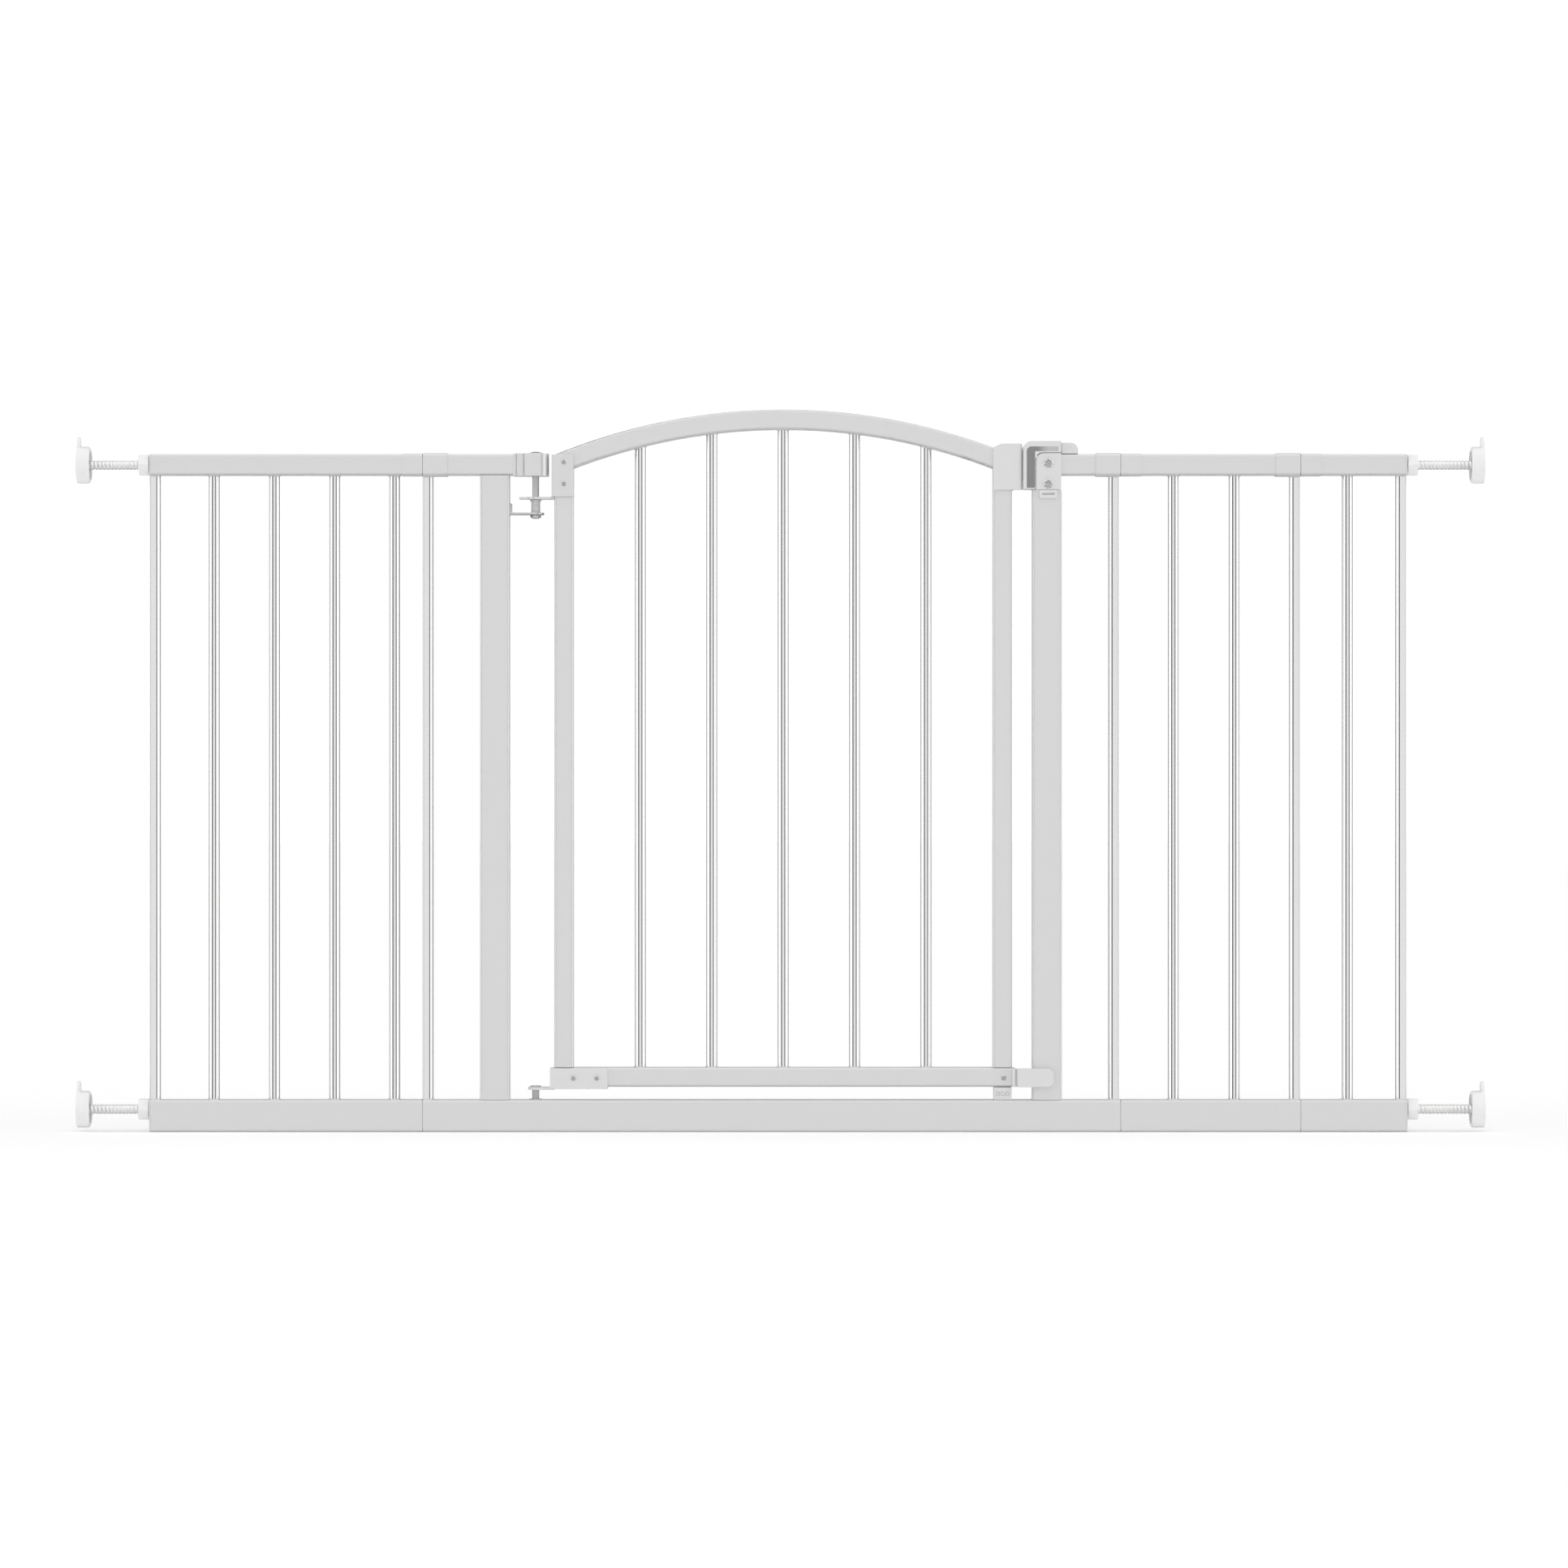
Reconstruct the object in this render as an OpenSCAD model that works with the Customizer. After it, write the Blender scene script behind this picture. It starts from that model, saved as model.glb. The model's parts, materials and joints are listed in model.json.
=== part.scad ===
// Pressure-fitted safety gate: a U-shaped middle frame with an arched swing door,
// one extension panel on the left, two on the right, and four threaded tension rods.
// Millimetres, +Z up. X runs along the gate, the front faces -Y, Z = 0 is the floor.

/* [Overall] */
// Distance between the two walls
wall_span = 1485; // [1477:1:1495]
// Height of the middle of the top rails
rail_z = 703.7; // [700:0.1:706]
// Height of the top of the arch
arch_top = 762; // [758:1:766]
// Radius of the arch's outer edge
arch_r = 635; // [625:1:650]

/* [Tubes] */
// Height of a top rail
rail_h = 22.3; // [20:0.1:23]
// Depth of a top rail
rail_d = 22; // [21:0.1:23]
// Height of the base rail
base_h = 34; // [32:0.5:34]
// Depth of the base rail
base_d = 24; // [23:0.5:26]
// Width of the hinge post and the latch post
post_w = 31.4; // [29:0.1:32]
// Width of a door stile
stile_w = 20.4; // [19:0.1:20.6]
// Depth of the door's tubes
door_d = 20; // [18:0.5:20]
// Width of an upright bar
bar_w = 11.5; // [9:0.5:13]
// Wall thickness of the tubes
tube_t = 1.4; // [1:0.1:1.6]
// Outside corner radius of the square tubes
tube_r = 2.6; // [2:0.1:3.5]

/* [Layout] */
// Seam between the left panel and the middle frame
seam_left = -377.4; // [-380:0.1:-375]
// Seam between the middle frame and the near right panel
seam_right = 358.5; // [356:0.1:361]
// Seam between the two right panels
seam_far = 548.4; // [546:0.1:551]
// Left end of the gate's rails
rail_end_left = -665.8; // [-667:0.1:-664]
// Right end of the gate's rails
rail_end_right = 661.1; // [660:0.1:663]
// Middle of the hinge post
hinge_post_x = -301.3; // [-303:0.1:-300]
// Middle of the latch post
latch_post_x = 281; // [281:0.1:282]

/* [Door] */
// Axis the door turns about
hinge_x = -258.6; // [-259:0.1:-258]
// Left edge of the door's frame
door_left = -238.7; // [-239:0.1:-238]
// Right edge of the door's frame
door_right = 244.1; // [243.5:0.1:244.2]
// Underside of the door's bottom rail
door_low = 47.6; // [47.6:0.1:49]
// Height of the door's bottom rail
door_rail_h = 20.5; // [19:0.1:21]
// Number of bars in the door
door_bars_n = 5; // [3:1:7]
// Distance from one door bar to the next
door_bar_pitch = 75.4; // [60:0.1:76]

/* [Hinge] */
// Radius of the top hinge rod
rod_r = 3.6; // [3:0.1:3.8]
// Radius of the round boss that holds the top hinge rod
boss_r = 14; // [12:0.5:14.5]
// Height the door can be lifted by
lift = 10; // [4:1:12]
// Radius of the lower hinge pin
pin_r = 3.7; // [3:0.1:4]

/* [Latch] */
// Left face of the release handle
handle_x = 255.6; // [255.5:0.1:256]
// Height the release handle lifts by
handle_lift = 8; // [5:1:8]
// Left face of the latch housing
housing_x = 269; // [266.6:0.1:269.4]
// Height of the latch bolt
bolt_h = 11.2; // [8:0.1:11.4]

/* [Tension fittings] */
// Radius of a wall cup
cup_r = 19.5; // [18:0.5:22]
// Depth of a wall cup
cup_t = 14; // [12:0.5:16]
// Radius of a threaded rod over its thread
spindle_r = 5.05; // [4:0.05:6]
// Height of the lower threaded rods
spindle_low_z = 23.7; // [20:0.1:23.8]
// Distance across the flats of an adjusting nut
nut_flats = 21.5; // [17:0.5:22]
// Thickness of an adjusting nut
nut_t = 11; // [8:0.5:14]

/* [Hidden] */
$fn = 48;
arch_fn = 240;
// clearances
seam_gap = 0.6;
run_gap = 0.07;
body_gap = 0.4;
wrap_gap = 0.05;
eps = 0.01;
// derived heights and edges
rail_low = rail_z - rail_h / 2;
rail_top = rail_z + rail_h / 2;
base_z = base_h / 2;
wall_x = wall_span / 2;
door_mid = (door_left + door_right) / 2;
door_rail_top = door_low + door_rail_h;
arch_h = 21;
arch_z = arch_top - arch_r;
hinge_stile_x = door_left + stile_w / 2;
latch_stile_x = door_right - stile_w / 2;
// bars
end_bar_r = 1.6;
bar_t = 1.2;
// position of each flat-sided bar, and 1 where a rail sleeve covers its top
end_bars_at = [[-660.2, 0], [-372.1, 1], [351.6, 1], [542.6, 1], [654.9, 0]];
panel_bar_xs = [-598.1, -534.4, -470.8, -407.5, 414.6, 478.9, 598.5];
// rail sleeves, collars and joiners
sleeve_len = 26;
sleeve_t = 1.05;
collar_len = 22;
collar_t = 0.6;
joiner_gap = 0.3;
top_joiner_len = 78;
base_joiner_len = 80;
joiner_t = 1.6;
// end plugs
plug_flange = 1.8;
plug_len = 10;
plug_bore = 5.6;
// top hinge
block_x = -281.8;
block_h = 24;
block_low = rail_z - block_h / 2;
block_spigot = 18;
block_groove_xs = [-279, -271.1];
block_groove_w = 0.9;
block_groove_d = 1;
boss_flat = 11.6;
boss_square_r = 1;
boss_round_r = 10;
head_r = 7.7;
head_t = 0.8;
dome_h = 1.5;
dome_a = 7.2;
post_plate_z = 651;
post_plate_t = 2.4;
post_plate_d = 18;
post_leg_h = 12;
post_leg_t = 2;
post_face_x = hinge_post_x + post_w / 2;
cam_r = 4.8;
cam_split = 661;
cam_top = 666.8;
cam_lip_r = 6.2;
cam_lip_t = 1.2;
hex_nut_flats = 10;
hex_nut_t = 3;
// door brackets
bracket_t = 1.8;
top_bracket_x = -241.5;
top_bracket_low = 669.9;
top_bracket_top = 714.4;
door_plate_z = 667.2;
door_plate_t = 2.8;
door_plate_r = 9;
door_plate_tail = 17.2;
door_plate_tail_w = 8;
low_bracket_x = -243.2;
low_bracket_end = -182.4;
low_bracket_low = 45.4;
low_bracket_top = 67.3;
low_plate_z = 44.4;
low_plate_t = 2.8;
low_plate_r = 8;
pin_hold = 12;
pin_low = base_h - lift - pin_hold;
pin_head_r = 5.5;
pin_head_t = 1.4;
bush_r = 5.6;
bush_low = 14;
bush_lip_r = 6.4;
bush_lip_t = 0.8;
// small screws: [x, height, face they sit on]
screw_r = 1.6;
screw_len = 8;
screw_head_r = 2.9;
screw_head_t = 0.9;
screw_dome_h = 0.6;
screw_socket_r = 1.1;
screw_face = -door_d / 2 - bracket_t;
bracket_screws_at = [
    [-228.5, 707, screw_face],
    [-228.5, 684, screw_face],
    [-218.4, 57.4, screw_face],
    [-193.9, 57.4, screw_face],
    [235.1, 57.4, -door_d / 2]
];
// door cap
cap_x = 223.9;
cap_end = 254.8;
cap_low = 677;
cap_top = 726;
cap_shoulder = 722;
cap_slope = 9;
cap_d = 24;
cap_r = 4;
strike_x = 246;
// door stop
stop_end = 288.2;
stop_top = 67.3;
stop_flange = 3.8;
stop_groove_x = 247;
stop_groove_w = 2.2;
stop_groove_d = 3.2;
stop_front = -16.6;
stop_t = 4.9;
stop_r = 7;
stop_insert = 18;
insert_gap = 0.2;
// base stop block
block_left = 224.8;
block_right = 243.6;
stop_block_d = 22;
mark_w = 3;
mark_h = 3.6;
mark_t = 0.5;
mark_pitch = 5;
mark_z = 40.5;
// latch housing
housing_end = 295.9;
housing_low = 677.3;
housing_top = 716;
housing_front = -13;
housing_back = 11.5;
housing_r = 8;
housing_spigot = 16;
stem_r = 2.5;
stem_low = 704;
stem_xs = [274, 290.5];
latch_screw_x = 282.2;
latch_screw_zs = [706, 684];
latch_screw_r = 2;
latch_screw_len = 14;
latch_head_r = 5.4;
latch_head_t = 1;
latch_dome_h = 1;
latch_socket_r = 2;
tab_x = 272.8;
tab_w = 18.8;
tab_low = 668;
tab_h = 9;
tab_t = 2.4;
tab_slot_w = 13;
tab_slot_h = 1.6;
// release handle
handle_low = 677.8;
handle_top = 728.6;
handle_d = 28;
handle_r = 9;
handle_column = housing_x - body_gap;
handle_arm = housing_top + body_gap;
bolt_x = 247;
bolt_end = 285;
bolt_d = 8;
bolt_low = 688.6;
bolt_chamfer = 2;
inlay_x = 259.4;
inlay_end = 293;
inlay_low = 679;
inlay_top = 722.8;
inlay_w = 8.8;
inlay_band = 5.2;
inlay_deep = 0.8;
inlay_t = 0.6;
inlay_r = 5;
// thumb slider
slider_x = housing_end + body_gap;
slider_end = 313.9;
slider_low = rail_top + body_gap + 0.1;
slider_top = 727;
slider_d = 19;
slider_r = 8;
tail_x = 286;
tail_low = 719;
tail_h = 7;
tail_d = 13;
arrow_x = 300;
arrow_z = 721.5;
arrow_w = 9;
arrow_h = 5;
arrow_t = 0.5;
// tension fittings
cup_plate = 5;
cup_rim = 3.9;
cup_round = 3;
tab_r = 8;
cup_tab_z = 21.6;
cup_tab_t = 3.4;
cup_hole_z = 24.6;
cup_hole_r = 2.1;
foot_r = 15.1;
foot_top = 13;
foot_bore = 8;
rod_tail = 128.5;
rod_chamfer = 1;
nut_gap = 0.6;
nut_left = wall_x + rail_end_left - nut_gap;
nut_right = wall_x - rail_end_right - nut_gap;
// colours
white = [0.93, 0.93, 0.93];
pale = [0.85, 0.85, 0.85];
steel = [0.72, 0.73, 0.75];
grey = [0.55, 0.55, 0.56];
dark = [0.22, 0.22, 0.23];

// ---- shared shapes ----

// rectangle with round corners, centred
module rounded(w, h, r) {
    square([w, h - 2 * r], center = true);
    square([w - 2 * r, h], center = true);
    for (x = [-1, 1], y = [-1, 1])
        translate([x * (w / 2 - r), y * (h / 2 - r)])
            circle(r);
}

// section of a square tube
module tube_section(w, h, r, t) {
    difference() {
        rounded(w, h, r);
        rounded(w - 2 * t, h - 2 * t, r - t);
    }
}

// upright square tube
module upright(x, low, high, w, d) {
    translate([x, 0, low])
        linear_extrude(high - low)
            tube_section(w, d, tube_r, tube_t);
}

// square tube lying along X
module level_tube(from, to, z, d, h, r, t) {
    translate([from, 0, z])
        rotate([90, 0, 90])
            linear_extrude(to - from)
                tube_section(d, h, r, t);
}

// solid bar with round corners lying along X
module level_bar(from, to, z, d, h, r) {
    translate([from, 0, z])
        rotate([90, 0, 90])
            linear_extrude(to - from)
                rounded(d, h, r);
}

module top_tube(from, to) {
    level_tube(from, to, rail_z, rail_d, rail_h, tube_r, tube_t);
}

module base_tube(from, to) {
    level_tube(from, to, base_z, base_d, base_h, tube_r, tube_t);
}

// plate in the XZ plane, its front at the given Y
module front_plate(y, t) {
    translate([0, y + t, 0])
        rotate([90, 0, 0])
            linear_extrude(t)
                children();
}

// upright cylinder on the hinge axis
module on_hinge(low, high, r) {
    translate([hinge_x, 0, low])
        cylinder(h = high - low, r = r);
}

// low dome, flat side at Z = 0
module dome(a, h) {
    dome_r = (a * a + h * h) / (2 * h);
    intersection() {
        translate([0, 0, h - dome_r])
            sphere(dome_r);
        cylinder(h = h + 1, r = a);
    }
}

// screw pointing along +Y, its head's underside at Y = 0
module screw(r, len, head_r, head_t, dome_h, socket_r) {
    rotate([90, 0, 0])
        difference() {
            union() {
                translate([0, 0, -len])
                    cylinder(h = len, r = r);
                cylinder(h = head_t, r = head_r);
                translate([0, 0, head_t])
                    dome(head_r, dome_h);
            }
            translate([0, 0, head_t - dome_h])
                cylinder(h = 3 * dome_h, r = socket_r, $fn = 6);
        }
}

// shank holes of the door's small screws
module screw_holes() {
    for (s = bracket_screws_at)
        translate([s[0], s[2] - 1, s[1]])
            rotate([-90, 0, 0])
                cylinder(h = screw_len + 1, r = screw_r);
}

// disc that the arch's edge lies on
module arch_disc(r, d) {
    translate([door_mid, 0, arch_z])
        rotate([90, 0, 0])
            cylinder(h = d, r = r, center = true, $fn = arch_fn);
}

// ---- middle frame ----

module base_rail() {
    color(pale)
    difference() {
        base_tube(seam_left + seam_gap / 2, seam_right - seam_gap / 2);
        on_hinge(base_z, base_h + 1, bush_r);
    }
}

module hinge_post() {
    color(pale)
    upright(hinge_post_x, base_h, rail_low, post_w, rail_d);
}

module latch_post() {
    color(pale)
    upright(latch_post_x, base_h, housing_low, post_w, rail_d);
}

module rail_left() {
    color(pale)
    top_tube(seam_left + seam_gap / 2, block_x);
}

module rail_right() {
    color(pale)
    top_tube(housing_end, seam_right - seam_gap / 2);
}

// a bar section that is round on one side and square on the other, where side is 1 or -1
module half_round(w, r, side) {
    circle(w / 2);
    intersection() {
        rounded(w, w, r);
        translate([side * w / 4, 0])
            square([w / 2, w], center = true);
    }
}

module end_bars() {
    color(white)
    for (bar = end_bars_at)
        translate([bar[0], 0, base_h])
            linear_extrude(rail_low - bar[1] * sleeve_t - base_h)
                difference() {
                    half_round(bar_w, end_bar_r, sign(bar[0]));
                    half_round(bar_w - 2 * bar_t, end_bar_r - bar_t, sign(bar[0]));
                }
}

module panel_bars() {
    color(white)
    for (x = panel_bar_xs)
        translate([x, 0, base_h])
            difference() {
                cylinder(h = rail_low - base_h, r = bar_w / 2);
                translate([0, 0, -1])
                    cylinder(h = rail_low - base_h + 2, r = bar_w / 2 - bar_t);
            }
}

module rail_sleeves() {
    color(white)
    for (x = [seam_left + seam_gap / 2, seam_right - sleeve_len, seam_far - sleeve_len])
        level_tube(x, x + sleeve_len - seam_gap / 2, rail_z,
                   rail_d + 2 * sleeve_t, rail_h + 2 * sleeve_t, tube_r + sleeve_t, sleeve_t);
}

module rail_collars() {
    color(white)
    for (x = [seam_left - collar_len, seam_right + seam_gap / 2, seam_far + seam_gap / 2])
        level_tube(x, x + collar_len - seam_gap / 2, rail_z,
                   rail_d + 2 * collar_t, rail_h + 2 * collar_t, tube_r + collar_t, collar_t);
}

module panel_joiners() {
    inset = 2 * (tube_t + joiner_gap);
    color(steel)
    for (x = [seam_left, seam_right, seam_far]) {
        level_tube(x - top_joiner_len / 2, x + top_joiner_len / 2, rail_z,
                   rail_d - inset, rail_h - inset, joiner_t + 0.2, joiner_t);
        level_tube(x - base_joiner_len / 2, x + base_joiner_len / 2, base_z,
                   base_d - inset, base_h - inset, joiner_t + 0.2, joiner_t);
    }
}

// outline of the hinge boss, squarer towards the rail and rounder towards the door
module boss_outline() {
    intersection() {
        rounded(2 * boss_flat, 2 * boss_r, boss_square_r);
        translate([-boss_flat, -boss_r])
            square([boss_flat, 2 * boss_r]);
    }
    intersection() {
        rounded(2 * boss_r, 2 * boss_r, boss_round_r);
        translate([0, -boss_r])
            square([boss_r, 2 * boss_r]);
    }
}

module hinge_block() {
    neck_d = rail_d + sleeve_t;
    color(white)
    difference() {
        union() {
            translate([hinge_x, 0, block_low])
                linear_extrude(block_h)
                    boss_outline();
            translate([block_x, -neck_d / 2, block_low])
                cube([hinge_x - block_x, neck_d, block_h]);
            level_bar(block_x - block_spigot, block_x + 1, rail_z,
                      rail_d - 2 * tube_t - insert_gap, rail_h - 2 * tube_t - insert_gap, 1);
        }
        on_hinge(block_low - 1, block_low + block_h + 1, rod_r);
        for (side = [-1, 1])
            for (x = block_groove_xs)
                translate([x, side * neck_d / 2 - block_groove_d, block_low - 1])
                    cube([block_groove_w, 2 * block_groove_d, block_h + 2]);
    }
}

module hinge_rod() {
    color(steel)
    union() {
        on_hinge(post_plate_z - hex_nut_t - 1, block_low + block_h + eps, rod_r);
        on_hinge(block_low + block_h, block_low + block_h + head_t, head_r);
        translate([hinge_x, 0, block_low + block_h + head_t])
            dome(dome_a, dome_h);
    }
}

module hinge_nut() {
    color(steel)
    difference() {
        translate([hinge_x, 0, post_plate_z - hex_nut_t])
            cylinder(h = hex_nut_t, r = hex_nut_flats / 2 / cos(30), $fn = 6);
        on_hinge(post_plate_z - hex_nut_t - 1, post_plate_z + 1, rod_r);
    }
}

module hinge_plate() {
    color(steel)
    difference() {
        union() {
            on_hinge(post_plate_z, post_plate_z + post_plate_t, post_plate_d / 2);
            translate([post_face_x, -post_plate_d / 2, post_plate_z])
                cube([hinge_x - post_face_x, post_plate_d, post_plate_t]);
            translate([post_face_x, -post_plate_d / 2, post_plate_z])
                cube([post_leg_t, post_plate_d, post_leg_h]);
        }
        on_hinge(post_plate_z - 1, post_plate_z + post_plate_t + 1, rod_r);
    }
}

module lower_cam() {
    color(grey)
    difference() {
        on_hinge(post_plate_z + post_plate_t, cam_split, cam_r);
        on_hinge(post_plate_z, cam_split + 1, rod_r);
    }
}

module hinge_bush() {
    color(grey)
    difference() {
        union() {
            on_hinge(bush_low, base_h + eps, bush_r);
            on_hinge(base_h, base_h + bush_lip_t, bush_lip_r);
        }
        on_hinge(bush_low - 1, base_h + bush_lip_t + 1, pin_r + run_gap);
    }
}

// outline of the latch housing, with its top left corner rounded
module housing_outline() {
    translate([housing_x, housing_low])
        square([housing_end - housing_x, housing_top - housing_r - housing_low]);
    translate([housing_x + housing_r, housing_low])
        square([housing_end - housing_x - housing_r, housing_top - housing_low]);
    translate([housing_x + housing_r, housing_top - housing_r])
        circle(housing_r);
}

module latch_housing() {
    post_in = 2 * tube_t + insert_gap;
    color(white)
    difference() {
        union() {
            front_plate(housing_front, housing_back - housing_front)
                housing_outline();
            translate([latch_post_x, 0, housing_low - housing_spigot])
                linear_extrude(housing_spigot + eps)
                    rounded(post_w - post_in, rail_d - post_in, 1);
            level_bar(housing_end - 1, housing_end + housing_spigot, rail_z,
                      rail_d - post_in, rail_h - post_in, 1);
        }
        translate([housing_x - 1, -bolt_d / 2 - body_gap, bolt_low - body_gap])
            cube([bolt_end + handle_lift + body_gap + 1 - housing_x,
                  bolt_d + 2 * body_gap, bolt_h + 2 * body_gap]);
        for (x = stem_xs)
            translate([x, 0, stem_low - body_gap])
                cylinder(h = housing_top - stem_low + 1, r = stem_r + run_gap);
        for (z = latch_screw_zs)
            translate([latch_screw_x, housing_front - 1, z])
                rotate([-90, 0, 0])
                    cylinder(h = latch_screw_len + 1, r = latch_screw_r);
    }
}

module latch_screws() {
    color(white)
    for (z = latch_screw_zs)
        translate([latch_screw_x, housing_front, z])
            screw(latch_screw_r, latch_screw_len, latch_head_r, latch_head_t,
                  latch_dome_h, latch_socket_r);
}

module latch_tab() {
    color(white)
    front_plate(-rail_d / 2 - tab_t, tab_t)
        translate([tab_x + tab_w / 2, tab_low + tab_h / 2])
            difference() {
                rounded(tab_w, tab_h, 2);
                square([tab_slot_w, tab_slot_h], center = true);
            }
}

module stop_block() {
    mid = (block_left + block_right) / 2;
    color(white)
    union() {
        translate([block_left, -stop_block_d / 2, base_h])
            cube([block_right - block_left, stop_block_d, door_low - base_h - body_gap]);
        for (i = [-1, 0, 1])
            translate([mid + i * mark_pitch - mark_w / 2, -stop_block_d / 2 - mark_t, mark_z - mark_h / 2])
                cube([mark_w, 2 * mark_t, mark_h]);
    }
}

// ---- extension panels ----

module left_panel_top() {
    color(pale)
    top_tube(rail_end_left + plug_flange, seam_left - seam_gap / 2);
}

module left_panel_base() {
    color(pale)
    base_tube(rail_end_left + plug_flange, seam_left - seam_gap / 2);
}

module near_panel_top() {
    color(pale)
    top_tube(seam_right + seam_gap / 2, seam_far - seam_gap / 2);
}

module near_panel_base() {
    color(pale)
    base_tube(seam_right + seam_gap / 2, seam_far - seam_gap / 2);
}

module far_panel_top() {
    color(pale)
    top_tube(seam_far + seam_gap / 2, rail_end_right - plug_flange);
}

module far_panel_base() {
    color(pale)
    base_tube(seam_far + seam_gap / 2, rail_end_right - plug_flange);
}

// plug for the end of a rail, seen from the wall end at the given X
module end_plug(x, side, z, d, h, hole_z) {
    inset = 2 * tube_t + insert_gap;
    inner = x - side * (plug_flange + plug_len);
    difference() {
        union() {
            level_bar(min(x, x - side * plug_flange), max(x, x - side * plug_flange), z, d, h, tube_r);
            level_bar(min(x, inner), max(x, inner), z, d - inset, h - inset, 1);
        }
        translate([x, 0, hole_z])
            rotate([0, 90, 0])
                cylinder(h = 3 * plug_len, r = plug_bore, center = true);
    }
}

module end_plugs() {
    color(white)
    for (side = [-1, 1]) {
        x = side < 0 ? rail_end_left : rail_end_right;
        end_plug(x, side, rail_z, rail_d, rail_h, rail_z);
        end_plug(x, side, base_z, base_d, base_h, spindle_low_z);
    }
}

// ---- door ----

module upper_cam() {
    color(grey)
    difference() {
        union() {
            on_hinge(cam_split + body_gap, cam_top, cam_r);
            on_hinge(cam_top - cam_lip_t, cam_top, cam_lip_r);
        }
        on_hinge(cam_split, cam_top + 1, rod_r + run_gap);
    }
}

module arch_rail() {
    span = door_right - door_left;
    color(pale)
    difference() {
        intersection() {
            translate([door_mid, 0, arch_z])
                rotate([90, 0, 0])
                    rotate_extrude($fn = arch_fn)
                        translate([arch_r - arch_h / 2, 0])
                            tube_section(arch_h, door_d, tube_r, tube_t);
            translate([door_left, -door_d, arch_top - span / 2])
                cube([span, 2 * door_d, span / 2 + 1]);
        }
        screw_holes();
    }
}

// upright tube of the door, cut to the underside of the arch
module stile(x) {
    difference() {
        intersection() {
            upright(x, door_rail_top, arch_top, stile_w, door_d);
            arch_disc(arch_r - arch_h, 2 * door_d);
        }
        screw_holes();
    }
}

module hinge_stile() {
    color(pale)
    stile(hinge_stile_x);
}

module latch_stile() {
    color(pale)
    stile(latch_stile_x);
}

module door_rail() {
    color(pale)
    difference() {
        level_tube(door_left, door_right, door_low + door_rail_h / 2, door_d, door_rail_h, tube_r, tube_t);
        screw_holes();
    }
}

module door_bars() {
    first = -(door_bars_n - 1) / 2;
    color(white)
    for (i = [0 : door_bars_n - 1])
        intersection() {
            translate([door_mid + (first + i) * door_bar_pitch, 0, door_rail_top])
                difference() {
                    cylinder(h = arch_top - door_rail_top, r = bar_w / 2);
                    translate([0, 0, -1])
                        cylinder(h = arch_top, r = bar_w / 2 - bar_t);
                }
            arch_disc(arch_r - arch_h, 2 * door_d);
        }
}

module top_bracket() {
    half = door_d / 2 + bracket_t;
    inner = door_d / 2 + wrap_gap;
    color(white)
    difference() {
        union() {
            translate([top_bracket_x, -half, top_bracket_low])
                cube([hinge_stile_x + stile_w / 2 - top_bracket_x, 2 * half,
                      top_bracket_top - top_bracket_low]);
            translate([hinge_x, -door_plate_r, door_plate_z])
                cube([hinge_stile_x - hinge_x, 2 * door_plate_r, door_plate_t]);
            on_hinge(door_plate_z, door_plate_z + door_plate_t, door_plate_r);
            translate([hinge_x - door_plate_tail, -door_plate_tail_w / 2, door_plate_z])
                cube([door_plate_tail, door_plate_tail_w, door_plate_t]);
        }
        translate([door_left - wrap_gap, -inner, door_plate_z - 1])
            cube([2 * stile_w, 2 * inner, arch_top - door_plate_z]);
        on_hinge(door_plate_z - 1, door_plate_z + door_plate_t + 1, rod_r + run_gap);
        screw_holes();
    }
}

module bottom_bracket() {
    half = door_d / 2 + bracket_t;
    inner = door_d / 2 + wrap_gap;
    color(white)
    difference() {
        union() {
            translate([low_bracket_x, -half, low_bracket_low])
                cube([low_bracket_end - low_bracket_x, 2 * half, low_bracket_top - low_bracket_low]);
            translate([hinge_x, -low_plate_r, low_plate_z])
                cube([door_left - hinge_x, 2 * low_plate_r, low_plate_t]);
            on_hinge(low_plate_z, low_plate_z + low_plate_t, low_plate_r);
        }
        translate([door_left - wrap_gap, -inner, door_low - wrap_gap])
            cube([stile_w + low_bracket_end - low_bracket_x, 2 * inner, door_rail_h + 1]);
        on_hinge(low_plate_z - 1, low_plate_z + low_plate_t + 1, pin_r);
        screw_holes();
    }
}

module bracket_screws() {
    color(steel)
    for (s = bracket_screws_at)
        translate([s[0], s[2], s[1]])
            screw(screw_r, screw_len, screw_head_r, screw_head_t, screw_dome_h, screw_socket_r);
}

module hinge_pin() {
    color(steel)
    union() {
        on_hinge(pin_low, low_plate_z + low_plate_t + eps, pin_r);
        on_hinge(low_plate_z + low_plate_t, low_plate_z + low_plate_t + pin_head_t, pin_head_r);
    }
}

module door_cap() {
    color(white)
    difference() {
        intersection() {
            front_plate(-cap_d / 2, cap_d)
                polygon([
                    [cap_x, cap_low],
                    [cap_end, cap_low],
                    [cap_end, cap_top],
                    [cap_x + cap_slope, cap_top],
                    [cap_x, cap_shoulder]
                ]);
            translate([cap_end - 2 * cap_d, 0, cap_low])
                linear_extrude(cap_top)
                    rounded(4 * cap_d, cap_d, cap_r);
        }
        intersection() {
            arch_disc(arch_r + wrap_gap, door_d + 2 * wrap_gap);
            translate([cap_x - 1, -door_d, cap_low - 1])
                cube([door_right + wrap_gap - cap_x + 1, 2 * door_d, arch_top - cap_low]);
        }
        translate([strike_x, -bolt_d / 2 - body_gap, cap_low - 1])
            cube([cap_end, cap_d, bolt_low + bolt_h + body_gap + 1 - cap_low]);
    }
}

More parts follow.
